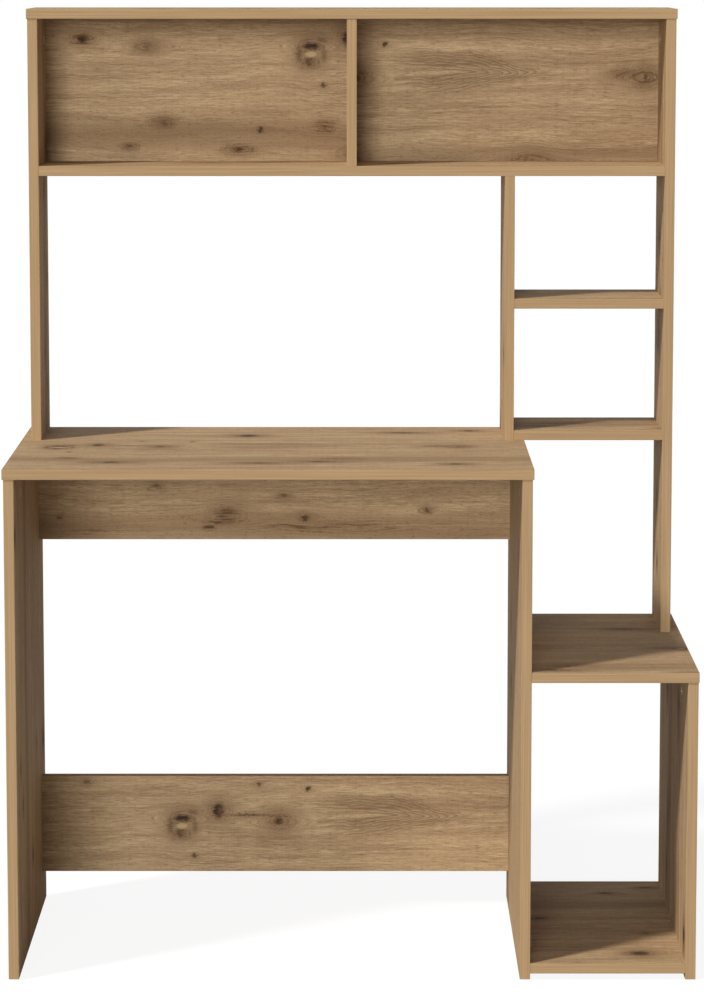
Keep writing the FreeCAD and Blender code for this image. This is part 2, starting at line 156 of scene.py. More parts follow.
darkness = sum_of(knot_group, "MULTIPLY", sum_of(
    knot_group, "MULTIPLY", core, left_dark), start.outputs["Depth"])
feed(knot_group, end.inputs["Dark"], sum_of(
    knot_group, "MAXIMUM", darkness, start.outputs["Dark"]))

halo = vector_of(knot_group, "DIVIDE", from_centre, start.outputs["Halo Size"])
halo_squared = vector_of(knot_group, "DOT_PRODUCT", halo, halo, output="Value")
brownness = sum_of(knot_group, "MULTIPLY", sum_of(knot_group, "EXPONENT", sum_of(
    knot_group, "MULTIPLY", halo_squared, -1.0)), start.outputs["Halo"])
rings_in_halo, ring_contrast, ring_floor = 4.5, 0.5, 0.7
rings = sum_of(knot_group, "FRACT", sum_of(
    knot_group, "MULTIPLY", sum_of(knot_group, "SQRT", halo_squared), -rings_in_halo))
brownness = sum_of(knot_group, "MULTIPLY", brownness, sum_of(
    knot_group, "MULTIPLY_ADD", rings, ring_contrast, ring_floor))
feed(knot_group, end.inputs["Brown"], sum_of(
    knot_group, "MAXIMUM", brownness, start.outputs["Brown"]))

off_x = add_node(knot_group, "ShaderNodeSeparateXYZ", {0: from_centre}).outputs["X"]
centre_y = add_node(knot_group, "ShaderNodeSeparateXYZ", {0: start.outputs["Centre"]}).outputs["Y"]
along = sum_of(knot_group, "DIVIDE", off_x, start.outputs["Reach"])
fading = sum_of(knot_group, "EXPONENT", sum_of(
    knot_group, "MULTIPLY", sum_of(knot_group, "MULTIPLY", along, along), -1.0))
swell_squared = sum_of(knot_group, "MULTIPLY", start.outputs["Swell"], start.outputs["Swell"])
off_y = sum_of(knot_group, "SUBTRACT", start.outputs["Across"], centre_y)
left_over = sum_of(knot_group, "SUBTRACT", sum_of(knot_group, "MULTIPLY", off_y, off_y), sum_of(
    knot_group, "MULTIPLY", swell_squared, fading))
inside = sum_of(knot_group, "LESS_THAN", left_over, 0.0)
side = sum_of(knot_group, "MINIMUM", sum_of(
    knot_group, "MULTIPLY_ADD", inside, 2.0, sum_of(knot_group, "SIGN", off_y)), 1.0)
pushed = sum_of(knot_group, "SQRT", sum_of(knot_group, "ABSOLUTE", left_over))
feed(knot_group, end.inputs["Across"], sum_of(knot_group, "MULTIPLY_ADD", pushed, side, centre_y))

# Before the knots, the grain lines wander slowly up and down the sheet and shiver a little on the
# way. A ragged place on the sheet gives the knots uneven outlines.
wander_group, start, end = new_group(
    "oak_wander", [("Place", "Vector", (0, 0, 0))],
    [("Sheet", "Vector"), ("Ragged", "Vector"), ("Across", "Float")])
sheet = vector_of(wander_group, "MULTIPLY", start.outputs["Place"], (1000, 1000, 0))
apart = add_node(wander_group, "ShaderNodeSeparateXYZ", {0: sheet})
along, across = apart.outputs["X"], apart.outputs["Y"]
wandered = across
for length, width, height in ((300, 110, 22), (48, 17, 3.4)):
    wandered = sum_of(wander_group, "MULTIPLY_ADD", noise_at(
        wander_group, (along, length), (across, width), detail=1), height, wandered)
rag_x, rag_y = 8.0, 5.0
ragged_x = sum_of(wander_group, "MULTIPLY_ADD", noise_at(
    wander_group, (along, 4.5), (across, 3.2), detail=1), rag_x, along)
ragged_y = sum_of(wander_group, "MULTIPLY_ADD", noise_at(
    wander_group, (across, 3.2), (along, 5.5), detail=1), rag_y, across)
feed(wander_group, end.inputs["Sheet"], sheet)
feed(wander_group, end.inputs["Ragged"], add_node(
    wander_group, "ShaderNodeCombineXYZ", {"X": ragged_x, "Y": ragged_y}).outputs[0])
feed(wander_group, end.inputs["Across"], wandered)

# The knots of the picture in millimetres. Each has its centre, the half length and half height of
# its core with its depth of tone and how pale its heart is, the half length and half height of the
# brown wood round it with its strength, and how far the grain is pushed aside along what length.
# A crack is a core as thin as a line, and a brown cloud has no core.
knots = [
    ((2, -3), (14, 5, 0.97, 0), (27, 21, 0.9), (12, 30)),
    ((-1, 21), (7, 6, 0.6, 0.4), (20, 15, 0.9), (8, 22)),
    ((18, -12), (9, 6, 0.3, 0), (20, 14, 0.7), (0.5, 8)),
    ((-17, 8), (4, 16, 0.35, 0), (10, 20, 0.7), (0.5, 8)),
    ((21, 8), (4, 15, 0.3, 0), (10, 18, 0.7), (0.5, 8)),
    ((58, -15), (9, 13, 1.0, 0.35), (24, 21, 0.9), (10, 24)),
    ((104, -8), (40, 2.2, 0.6, 0), (36, 7, 0.5), (0.5, 8)),
    ((152, 1), (6, 7, 0.8, 0.2), (28, 21, 1.0), (12, 30)),
    ((198, -50), (4, 4, 0.85, 0), (8, 6, 0.5), (2, 9)),
    ((20, 57), (4, 3.5, 0.7, 0), (8, 6, 0.5), (1, 8)),
    ((-147, -61), (5, 4, 0.5, 0), (12, 8, 0.5), (2, 10)),
    ((121, -57), (3.5, 3.5, 0.65, 0), (8, 6, 0.5), (2, 8)),
    ((598, 1), (4, 6, 0.7, 0.2), (24, 22, 1.0), (14, 36)),
    ((570, -4), (1, 1, 0, 0), (32, 11, 0.95), (0.5, 8)),
    ((425, 127), (1, 1, 0, 0), (46, 17, 0.95), (14, 46)),
    ((-350, -13), (7, 6, 0.9, 0), (24, 13, 1.0), (6, 26)),
    ((-250, -2), (7, 7, 0.35, 0), (24, 13, 0.95), (8, 28)),
    ((-225, 116), (5, 4, 0.5, 0), (26, 15, 1.0), (5, 24)),
    ((-278, 150), (6, 3, 0.5, 0), (22, 9, 0.95), (5, 18)),
    ((-76, 125), (3.5, 5, 0.8, 0), (11, 10, 0.8), (4, 14)),
    ((-109, 155), (5, 3, 0.65, 0), (30, 11, 1.0), (3, 22)),
    ((22, 122), (5, 5, 0.45, 0), (24, 16, 1.0), (4, 26)),
    ((280, -116), (15, 13, 0.97, 0), (34, 20, 0.9), (9, 30)),
    ((515, -149), (22, 7, 0.5, 0), (52, 12, 1.0), (7, 40)),
    ((618, -171), (9, 8, 0.65, 0), (26, 14, 0.9), (4, 20)),
    ((90, 161), (13, 8, 0.7, 0), (52, 17, 1.0), (8, 34)),
    ((305, 169), (14, 7, 0.45, 0), (60, 16, 1.0), (6, 36)),
    ((388, 154), (12, 7, 0.5, 0), (56, 15, 1.0), (7, 34)),
    ((588, 179), (9, 6, 0.6, 0), (32, 14, 1.0), (7, 26)),
    ((-763, 70), (12, 4, 0.85, 0), (22, 10, 0.85), (6, 22)),
    ((-700, 38), (11, 4, 0.75, 0), (20, 9, 0.8), (5, 20)),
    ((-874, 211), (11, 5, 0.85, 0), (20, 12, 0.9), (7, 24)),
    ((-720, 290), (5, 4, 0.4, 0), (14, 9, 0.6), (5, 16)),
    ((-737, 396), (15, 10, 0.95, 0.2), (30, 20, 1.0), (10, 36)),
    ((1188, 116), (1, 1, 0, 0), (30, 19, 1.0), (10, 40)),
    ((1182, 124), (1, 1, 0, 0), (60, 12, 0.9), (0.5, 8)),
    ((1163, 133), (10, 2.4, 0.6, 0), (18, 9, 1.0), (0.5, 8)),
    ((1175, 126), (9, 2.2, 0.55, 0), (14, 9, 0.9), (0.5, 8)),
    ((1190, 114), (19, 12, 0.28, 0), (30, 18, 0.9), (4, 16)),
    ((1310, 119), (5, 5, 0.8, 0), (18, 11, 1.0), (7, 22)),
    ((1350, 133), (1, 1, 0, 0), (190, 15, 0.85), (0.5, 8)),
    ((980, 140), (1, 1, 0, 0), (90, 10, 0.7), (0.5, 8)),
    ((1278, 84), (5, 2.5, 0.3, 0), (14, 6, 0.8), (2, 12)),
    ((1499, 107), (4, 4, 0.7, 0), (14, 10, 0.8), (4, 16)),
    ((932, 118), (5, 3, 0.35, 0), (12, 8, 0.7), (3, 12)),
    ((1081, 68), (5, 3, 0.35, 0), (12, 7, 0.7), (3, 12)),
]

# The paper itself: arched growth rings, fine streaks, short dark pores and broad patches of tone,
# all along the grain lines as the knots have bent them. Each noise has the length and the width
# of its grain.
paper_group, start, end = new_group(
    "oak_paper",
    [("Sheet", "Vector", (0, 0, 0)), ("Across", "Float", 0.0), ("Dark", "Float", 0.0),
     ("Brown", "Float", 0.0)],
    [("Color", "Color")])
apart = add_node(paper_group, "ShaderNodeSeparateXYZ", {0: start.outputs["Sheet"]})
along, across = apart.outputs["X"], apart.outputs["Y"]
bent = start.outputs["Across"]
fine = noise_at(paper_group, (along, 24), (bent, 1.35), roughness=0.6)
streak = noise_at(paper_group, (along, 95), (bent, 4.0), roughness=0.6)
band = noise_at(paper_group, (along, 330), (bent, 17))
patch = noise_at(paper_group, (along, 160), (bent, 18))
pore_length, pore_width = 9.5, 0.9
pores = fade(paper_group, noise_at(
    paper_group, (along, pore_length), (bent, pore_width), detail=1), 0.08, 0.26)
# From close by, each pore is a dash a quarter of a millimetre wide.
dash_length, dash_width = 5.0, 0.28
hair = noise_at(paper_group, (along, dash_length), (bent, dash_width), detail=1)
dashes = add_node(paper_group, "ShaderNodeMapRange", {
    "Value": sum_of(paper_group, "MULTIPLY_ADD", fine, -0.35, hair),
    "From Min": 0.1, "From Max": 0.17}).outputs[0]

# Where the saw has run along a growth ring, the ring lines lie in long narrow arches that come to
# a point along the board, one within the other.
heart_line = -7
arch_foot, arch_tip, arch_rise = 250, 415, 26
ramp = add_node(paper_group, "ShaderNodeMapRange", {
    "Value": along, "From Min": arch_foot, "From Max": 2 * arch_tip - arch_foot,
    "To Max": 2.0}).outputs[0]
steepening, narrowing, point_roundness, sway = 2.1, 0.3, 6.0, 8.0
height = sum_of(
    paper_group, "MULTIPLY", sum_of(paper_group, "POWER", ramp, steepening), arch_rise)
off_heart = sum_of(paper_group, "SUBTRACT", bent, heart_line)
narrowed = sum_of(paper_group, "MULTIPLY", off_heart, sum_of(
    paper_group, "MULTIPLY_ADD", ramp, narrowing, 1.0))
arch = sum_of(paper_group, "ADD", height, sum_of(paper_group, "SQRT", sum_of(
    paper_group, "MULTIPLY_ADD", narrowed, narrowed, point_roundness)))
arch = sum_of(paper_group, "MULTIPLY_ADD", noise_at(
    paper_group, (along, 46), (across, 15)), sway, arch)
arch_show = 1.0
for distance, none, full in (
        (arch, 46.0, 31.0), (arch, 3.0, 7.0), (along, arch_foot - 50.0, arch_foot + 30.0),
        (sum_of(paper_group, "ABSOLUTE", off_heart), 34.0, 22.0)):
    arch_show = sum_of(
        paper_group, "MULTIPLY", arch_show, fade(paper_group, distance, none, full))


def ring_lines(tree, distance, pitch, wobble):
    """Lines that darken slowly over a year's growth and break off."""
    phase = sum_of(tree, "FRACT", sum_of(tree, "ADD", wobble, sum_of(
        tree, "DIVIDE", distance, pitch)))
    return sum_of(tree, "POWER", phase, 2.0)


# Elsewhere the ring lines show only where they part round the knots.
arch_pitch, knot_pitch = 4.3, 4.6
wobble = sum_of(paper_group, "MULTIPLY_ADD", streak, 0.6, sum_of(
    paper_group, "MULTIPLY", band, 1.1))
arch_lines = sum_of(
    paper_group, "MULTIPLY", ring_lines(paper_group, arch, arch_pitch, wobble), arch_show)
knot_lines = sum_of(
    paper_group, "MULTIPLY", ring_lines(paper_group, bent, knot_pitch, wobble), sum_of(
        paper_group, "MULTIPLY_ADD", start.outputs["Brown"], 0.75, 0.1))
ring_share = sum_of(paper_group, "MULTIPLY", sum_of(
    paper_group, "MAXIMUM", arch_lines, knot_lines), sum_of(
        paper_group, "MULTIPLY_ADD", fine, 1.8, 0.85))

oak_light = tint(208, 177, 136)
oak_dark = tint(150, 120, 89)
oak_warm = tint(176, 143, 109)
oak_ring = tint(104, 75, 50)
oak_brown = tint(112, 81, 53)
oak_knot = tint(52, 36, 25)
oak_pale = tint(198, 172, 126)
arch_tint, ring_tint, pore_tint, dash_tint = 0.22, 0.75, 0.5, 0.4
tone = 0.55
for noise, weight in ((hair, 0.5), (fine, 1.35), (streak, 1.1), (band, 1.1)):
    tone = sum_of(paper_group, "MULTIPLY_ADD", noise, weight, tone)
color = blend_of(paper_group, tone, oak_dark, oak_light)
warm_share = add_node(paper_group, "ShaderNodeMapRange", {
    "Value": patch, "From Min": -0.06, "From Max": 0.18, "To Max": 0.45}).outputs[0]
color = blend_of(paper_group, warm_share, color, oak_warm)
# A browner streak of the board runs below the lower knots.
streak_line, streak_edge, streak_middle = 132, 34.0, 4.0
brown_streak = fade(paper_group, sum_of(paper_group, "ABSOLUTE", sum_of(
    paper_group, "SUBTRACT", bent, streak_line)), streak_edge, streak_middle, most=0.5)
brown_share = sum_of(paper_group, "MULTIPLY", sum_of(
    paper_group, "MAXIMUM", brown_streak, start.outputs["Brown"]), sum_of(
        paper_group, "MULTIPLY_ADD", sum_of(paper_group, "ADD", streak, fine), 2.0, 0.8))
color = blend_of(paper_group, brown_share, color, oak_brown)
color = blend_of(paper_group, sum_of(
    paper_group, "MULTIPLY", arch_show, arch_tint), color, oak_brown)
color = blend_of(paper_group, sum_of(
    paper_group, "MULTIPLY", ring_share, ring_tint), color, oak_ring)
color = blend_of(paper_group, sum_of(paper_group, "MAXIMUM", sum_of(
    paper_group, "MULTIPLY", pores, pore_tint), sum_of(
        paper_group, "MULTIPLY", dashes, dash_tint)), color, oak_ring)
# The wood is pale between the two halves of the widest knot.
pale_place, pale_size = (1, 9.5, 0), (10, 5, 1)
from_pale = vector_of(paper_group, "DIVIDE", vector_of(
    paper_group, "SUBTRACT", start.outputs["Sheet"], pale_place), pale_size)
pale = fade(paper_group, vector_of(
    paper_group, "LENGTH", from_pale, output="Value"), 1.2, 0.5, most=0.7)
color = blend_of(paper_group, pale, color, oak_pale)
feed(paper_group, end.inputs["Color"], blend_of(
    paper_group, start.outputs["Dark"], color, oak_knot))

# The paper is pressed with pores that can be felt. They run along the wandering grain lines, and
# take no notice of the knots.
pore_group, start, end = new_group(
    "oak_pores", [("Sheet", "Vector", (0, 0, 0)), ("Across", "Float", 0.0)], [("Grain", "Float")])
along = add_node(pore_group, "ShaderNodeSeparateXYZ", {0: start.outputs["Sheet"]}).outputs["X"]
pores, hair = (
    noise_at(pore_group, (along, length), (start.outputs["Across"], width), detail=1)
    for length, width in ((pore_length, pore_width), (dash_length, dash_width)))
feed(pore_group, end.inputs["Grain"], fade(
    pore_group, sum_of(pore_group, "MAXIMUM", pores, hair), 0.08, 0.24))

# Raw chipboard, where a board has no paper and no band: pressed flakes of wood in glue.
chip_group, start, end = new_group(
    "chipboard", [("Place", "Vector", (0, 0, 0))], [("Color", "Color"), ("Height", "Float")])
flake_fineness, dust_fineness = 620.0, 1500.0
flake_dark, flake_light, glue = tint(150, 118, 82), tint(205, 176, 134), tint(120, 88, 60)
flakes = add_node(chip_group, "ShaderNodeTexVoronoi", {
    "Vector": start.outputs["Place"], "Scale": flake_fineness})
shade = add_node(chip_group, "ShaderNodeSeparateColor", {0: flakes.outputs["Color"]}).outputs[0]
dust = add_node(chip_group, "ShaderNodeTexNoise", {
    "Vector": start.outputs["Place"], "Scale": dust_fineness}).outputs["Fac"]
feed(chip_group, end.inputs["Color"], blend_of(
    chip_group, sum_of(chip_group, "MULTIPLY", dust, 0.6),
    blend_of(chip_group, shade, flake_dark, flake_light), glue))
feed(chip_group, end.inputs["Height"], sum_of(chip_group, "ADD", shade, dust))


def new_material(name):
    """An empty material, with its shader."""
    made = bpy.data.materials.new(name)
    made.use_nodes = True
    made.node_tree.nodes.clear()
    shader = made.node_tree.nodes.new("ShaderNodeBsdfPrincipled")
    out = made.node_tree.nodes.new("ShaderNodeOutputMaterial")
    made.node_tree.links.new(shader.outputs["BSDF"], out.inputs["Surface"])
    return made, made.node_tree, shader


def dress(piece, material):
    """Give a piece or a CAD node one material all over."""
    piece.data.materials.clear()
    piece.data.materials.append(material)


# Which way the sheet of paper is turned on a board, so that its grain runs as the board's does:
# a flat board has its sheet's upper edge at the back, a rail's is at its top, and an upright's
# grain stands. The last word is the axis through the board.
turns = {
    "flat": ((math.pi, 0, 0), "Z"),
    "on_edge": ((math.pi / 2, 0, 0), "Y"),
    "upright": ((0, math.pi / 2, 0), "X"),
}


def sheet_window(name, lie, shift):
    """The part of the picture that a board is cut from: its low and high corner in millimetres."""
    low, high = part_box(name)
    corners = {
        "flat": ((low.x, -high.y), (high.x, -low.y)),
        "on_edge": ((low.x, -high.z), (high.x, -low.z)),
        "upright": ((low.z, low.y), (high.z, high.y)),
    }[lie]
    return [tuple(1000 * (c + s) for c, s in zip(corner, shift)) for corner in corners]


def oak_board(name, lie, shift):
    """Lay the oak print on a board, its widest knot set off by a shift of the sheet in metres."""
    turn, through = turns[lie]
    made, tree, shader = new_material(f"oak_laminate_{name}")
    coordinates = tree.nodes.new("ShaderNodeTexCoord")
    place = add_node(tree, "ShaderNodeMapping", {
        "Vector": coordinates.outputs["Object"], "Location": (*shift, 0),
        "Rotation": turn}).outputs[0]
    wander = add_node(tree, "ShaderNodeGroup", {}, node_tree=wander_group)
    feed(tree, wander.inputs["Place"], place)
    across, dark, brown = wander.outputs["Across"], 0.0, 0.0
    low, high = sheet_window(name, lie, shift)
    knot_edge = 45
    for centre, (core_x, core_y, depth, hollow), (halo_x, halo_y, halo), (swell, reach) in knots:
        if not all(a - knot_edge < c < b + knot_edge for a, c, b in zip(low, centre, high)):
            continue
        knot = add_node(tree, "ShaderNodeGroup", {}, node_tree=knot_group)
        for socket, value in (
                ("Place", wander.outputs["Ragged"]), ("Across", across), ("Dark", dark),
                ("Brown", brown), ("Centre", (*centre, 0)), ("Size", (core_x, core_y, 1)),
                ("Depth", depth), ("Hollow", hollow), ("Halo Size", (halo_x, halo_y, 1)),
                ("Halo", halo), ("Swell", swell), ("Reach", reach)):
            feed(tree, knot.inputs[socket], value)
        across, dark, brown = (knot.outputs[socket] for socket in ("Across", "Dark", "Brown"))
    paper = add_node(tree, "ShaderNodeGroup", {}, node_tree=paper_group)
    for socket, value in (
            ("Sheet", wander.outputs["Sheet"]), ("Across", across), ("Dark", dark),
            ("Brown", brown)):
        feed(tree, paper.inputs[socket], value)
    pressed = add_node(tree, "ShaderNodeGroup", {}, node_tree=pore_group)
    for socket in ("Sheet", "Across"):
        feed(tree, pressed.inputs[socket], wander.outputs[socket])
    core = add_node(tree, "ShaderNodeGroup", {}, node_tree=chip_group)
    feed(tree, core.inputs["Place"], coordinates.outputs["Object"])
    facing = add_node(tree, "ShaderNodeSeparateXYZ", {
        0: coordinates.outputs["Normal"]}).outputs[through]
    face_on = 0.7
    papered = sum_of(tree, "GREATER_THAN", sum_of(tree, "ABSOLUTE", facing), face_on)
    feed(tree, shader.inputs["Base Color"], blend_of(
        tree, papered, core.outputs["Color"], paper.outputs["Color"]))
    paper_rough, pore_rough, pore_depth = 0.74, 0.86, 0.25
    feed(tree, shader.inputs["Roughness"], add_node(tree, "ShaderNodeMapRange", {
        "Value": sum_of(tree, "MULTIPLY", pressed.outputs["Grain"], papered),
        "To Min": paper_rough, "To Max": pore_rough}).outputs[0])
    shader.inputs["Specular IOR Level"].default_value = 0.2
    chip_relief = sum_of(
        tree, "MULTIPLY", core.outputs["Height"], sum_of(tree, "SUBTRACT", 1.0, papered))
    relief = sum_of(
        tree, "ADD", sum_of(tree, "MULTIPLY", pressed.outputs["Grain"], -pore_depth), chip_relief)
    bump = add_node(tree, "ShaderNodeBump", {
        "Height": relief, "Strength": 0.35, "Distance": 0.0002})
    feed(tree, shader.inputs["Normal"], bump.outputs["Normal"])
    dress(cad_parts[name], made)


# Side panels. Three chipboard panels stand on the floor with their grain upright: one at each end
# of the desk and a low one that closes the tower. Their front and back edges are banded.
for name, shift in (
        ("left_side_panel", (-1.0, 0.2)), ("middle_panel", (-0.72, -0.11)),
        ("tower_side_panel", (0.22, 0.08))):
    oak_board(name, "upright", shift)

# Rails. The apron under the desktop and the lower rail join the two tall panels near the back.
# The grain runs along them, and the lower one has the widest knot and the arches.
rail_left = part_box("lower_rail")[0].x
lower_rail_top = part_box("lower_rail")[1].z
apron_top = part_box("apron_rail")[1].z
wide_knot_from_end, wide_knot_from_top = 0.217, 0.0695
oak_board("lower_rail", "on_edge", (
    -rail_left - wide_knot_from_end, lower_rail_top - wide_knot_from_top))
apron_on_sheet = 0.900
oak_board("apron_rail", "on_edge", (apron_on_sheet - rail_left, apron_top))

# The desktop. One board of the same chipboard, banded all round, its grain from end to end. It
# lies on the two tall panels and is drawn down on them by cam locks.
desktop_low, desktop_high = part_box("desktop_edge_band")
wide_knot_from_left, wide_knot_from_back = 0.062, 0.216
oak_board("desktop", "flat", (
    -desktop_low.x - wide_knot_from_left, desktop_high.y - wide_knot_from_back))

# Tower. Its banded top lies on the side panel and butts against the middle panel, and the floor
# shelf for the computer hangs between the two, just over the floor.
oak_board("tower_top", "flat", (0.10, -0.05))
shelf_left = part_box("tower_floor_shelf")[0].x
shelf_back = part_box("tower_floor_shelf_edge_band")[1].y
shelf_on_sheet = -0.900
oak_board("tower_floor_shelf", "flat", (shelf_on_sheet - shelf_left, shelf_back))

# Hutch uprights and dividers. Narrow boards with their grain upright, screwed from below where
# they stand on the desktop or on the tower top. The centre divider stands on the hutch shelf.
for name, shift in (
        ("hutch_left_upright", (-1.10, -0.04)), ("hutch_right_upright", (-0.90, -0.16)),
        ("hutch_column_divider", (-0.60, -0.2)), ("hutch_centre_divider", (-1.3, -0.1))):
    oak_board(name, "upright", shift)

# Hutch top and shelves. Banded boards with their grain from end to end. The top lies on the
# uprights, and the shelves hang between them on cam bolts and dowels.
for name, shift in (
        ("hutch_top", (0.3, 0.12)), ("hutch_shelf", (0.52, 0.33)),
        ("column_upper_shelf", (-0.1, 0.2)), ("column_lower_shelf", (0.1, 0.28))):
    oak_board(name, "flat", shift)

# Back boards. Two short boards stand behind the upper compartments. The widest knot is at the
# right end of the left one, and the right one has the arches.
left_board_low, left_board_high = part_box("left_back_board")
wide_knot_from_end, wide_knot_from_top = 0.406, 0.047
oak_board("left_back_board", "on_edge", (
    -left_board_low.x - wide_knot_from_end, left_board_high.z - wide_knot_from_top))
right_board_low, right_board_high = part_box("right_back_board")
right_board_on_sheet = (0.1545, -0.091)
oak_board("right_back_board", "on_edge", (
    right_board_on_sheet[0] - right_board_low.x, right_board_on_sheet[1] + right_board_high.z))


# Edge band. A strip of ABS 0.8 mm thick is glued to each edge that shows, printed with plain
# straight grain of more even tone than the boards, its corners scraped to a small bevel.
band_group, start, end = new_group(
    "band_print", [("Place", "Vector", (0, 0, 0))], [("Color", "Color"), ("Grain", "Float")])
grain = add_node(band_group, "ShaderNodeTexNoise", {
    "Vector": start.outputs["Place"], "Scale": 1.0, "Detail": 3.0, "Roughness": 0.6}).outputs["Fac"]
band_share = add_node(band_group, "ShaderNodeMapRange", {
    "Value": grain, "From Min": 0.28, "From Max": 0.72}).outputs[0]
band_dark, band_light = tint(151, 121, 87), tint(177, 146, 108)
feed(band_group, end.inputs["Color"], blend_of(band_group, band_share, band_dark, band_light))
feed(band_group, end.inputs["Grain"], band_share)


def edge_band(through, *boards):
    """Print the bands of the boards that have the same axis through them."""
    grain_width, grain_length = 0.0011, 0.16
    made, tree, shader = new_material(f"edge_band_{through}")
    coordinates = tree.nodes.new("ShaderNodeTexCoord")
    stretch = [1 / (grain_width if axis == through else grain_length) for axis in "XYZ"]
    place = add_node(tree, "ShaderNodeMapping", {
        "Vector": coordinates.outputs["Object"], "Scale": stretch}).outputs[0]
    paper = add_node(tree, "ShaderNodeGroup", {}, node_tree=band_group)
    feed(tree, paper.inputs["Place"], place)
    feed(tree, shader.inputs["Base Color"], paper.outputs["Color"])
    feed(tree, shader.inputs["Roughness"], add_node(tree, "ShaderNodeMapRange", {
        "Value": paper.outputs["Grain"], "To Min": 0.72, "To Max": 0.8}).outputs[0])
    shader.inputs["Specular IOR Level"].default_value = 0.2
    bump = add_node(tree, "ShaderNodeBump", {
        "Height": paper.outputs["Grain"], "Strength": 0.15, "Distance": 0.0001})
    feed(tree, shader.inputs["Normal"], bump.outputs["Normal"])
    for name in boards:
        dress(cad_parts[f"{name}_edge_band"], made)


edge_band("Z", "desktop", "tower_top", "tower_floor_shelf", "hutch_top", "hutch_shelf",
          "column_upper_shelf", "column_lower_shelf")
edge_band("X", "left_side_panel", "middle_panel", "tower_side_panel", "hutch_left_upright",
          "hutch_right_upright", "hutch_column_divider", "hutch_centre_divider")
edge_band("Y", "apron_rail", "lower_rail")


# Cam locks. Each is a drum of cast zinc in a blind hole near a board's end, its mouth flush with
# the board's face. The head of the bolt goes in by the window in its side, and a quarter turn of a
# screwdriver draws it in. The arrow on the drum points to the bolt.
def only(piece):
    """Select one object and no other."""
    bpy.ops.object.select_all(action="DESELECT")
    piece.select_set(True)
    bpy.context.view_layer.objects.active = piece


def pick_faces(piece, chosen):
    """In edit mode, select the faces that a test on their middle and normal chooses."""
    bpy.ops.mesh.select_mode(type="FACE")
    bpy.ops.mesh.select_all(action="DESELECT")
    cage = bmesh.from_edit_mesh(piece.data)
    for face in cage.faces:
        face.select_set(chosen(face.calc_center_median(), face.normal))
    bmesh.update_edit_mesh(piece.data)


def carve(piece, cutter):
    """Cut one piece out of another and throw it away."""
    only(piece)
    cut = piece.modifiers.new("cut", "BOOLEAN")
    cut.object = cutter
    cut.operation = "DIFFERENCE"
    cut.solver = "EXACT"
    bpy.ops.object.modifier_apply(modifier=cut.name)
    bpy.data.objects.remove(cutter)


def block(low, high):
    """A cutter between two corners."""
    middle = [(a + b) / 2 for a, b in zip(low, high)]
    sides = [b - a for a, b in zip(low, high)]
    bpy.ops.mesh.primitive_cube_add(size=1, location=middle, scale=sides)
    bpy.ops.object.transform_apply(location=True, rotation=False, scale=True)
    return bpy.context.object


def cut_cross(piece, height, length, width, depth):
    """Sink a screwdriver's cross into a face that looks up, or down where the depth is negative."""
    bottom, top = height - depth, height + depth / 8
    taper = 0.55
    for size_x, size_y in ((length, width), (width, length)):
        cutter = block(
            (-size_x / 2, -size_y / 2, min(bottom, top)),
            (size_x / 2, size_y / 2, max(bottom, top)))
        bpy.ops.object.mode_set(mode="EDIT")
        pick_faces(cutter, lambda middle, normal: normal.z * depth < -0.9 * abs(depth))
        bpy.ops.transform.resize(value=(taper, taper, 1), center_override=(0, 0, bottom))
        bpy.ops.object.mode_set(mode="OBJECT")
        carve(piece, cutter)


def solids_of(node):
    """The middle and the size of each solid in a node, read from a copy that is parted."""
    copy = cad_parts[node].copy()
    copy.data = copy.data.copy()
    bpy.context.scene.collection.objects.link(copy)
    only(copy)
    bpy.ops.object.mode_set(mode="EDIT")
    bpy.ops.mesh.select_all(action="SELECT")
    bpy.ops.mesh.remove_doubles(threshold=1e-6)
    bpy.ops.mesh.separate(type="LOOSE")
    bpy.ops.object.mode_set(mode="OBJECT")
    solids = []
    for part in bpy.context.selected_objects:
        corners = [vertex.co for vertex in part.data.vertices]
        low, high = (Vector(limit(axis) for axis in zip(*corners)) for limit in (min, max))
        solids.append(((low + high) / 2, high - low))
    bpy.ops.object.delete()
    return sorted(solids, key=lambda solid: tuple(round(value, 4) for value in solid[0]))


def turned_to(middle, up, forward):
    """The place of a fitting: its middle, the way its top looks and the way its front looks."""
    turn = Matrix((forward, up.cross(forward), up)).transposed()
    return Matrix.Translation(middle) @ turn.to_4x4()


def way_along(size, choice):
    """The axis along a solid's longest or shortest side, as max or min chooses."""
    side = choice(range(3), key=lambda axis: size[axis])
    return Vector([1.0 if axis == side else 0.0 for axis in range(3)])


def lay_out(pattern, node, places, material):
    """Copy a fitting to its places, each with its own mesh, and join them in the node's stead."""
    copies = []
    for place in places:
        copy = pattern.copy()
        copy.data = pattern.data.copy()
        copy.matrix_world = place
        bpy.context.scene.collection.objects.link(copy)
        copies.append(copy)
    only(copies[0])
    for copy in copies:
        copy.select_set(True)
    bpy.ops.object.join()
    bpy.ops.object.transform_apply(location=True, rotation=True, scale=True)
    made = bpy.context.object
    made.name = f"{node}_in_place"
    dress(made, material)
    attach(made, "root")
    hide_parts(node)


cam_radius, cam_height = 0.0074, 0.0119
mouth = cam_height / 2
lip, lip_depth = 0.0007, 0.0003
dish_rim, dish_depth = 0.0026, 0.0002
bpy.ops.object.select_all(action="DESELECT")
bpy.ops.mesh.primitive_cylinder_add(
    vertices=36, radius=cam_radius, depth=cam_height, end_fill_type="NGON")
cam_lock = bpy.context.object
bpy.ops.object.mode_set(mode="EDIT")
pick_faces(cam_lock, lambda middle, normal: normal.z > 0.9)
bpy.ops.mesh.inset(thickness=lip)
bpy.ops.transform.translate(value=(0, 0, -lip_depth))
bpy.ops.mesh.inset(thickness=dish_rim)
bpy.ops.transform.translate(value=(0, 0, -dish_depth))
bpy.ops.object.mode_set(mode="OBJECT")

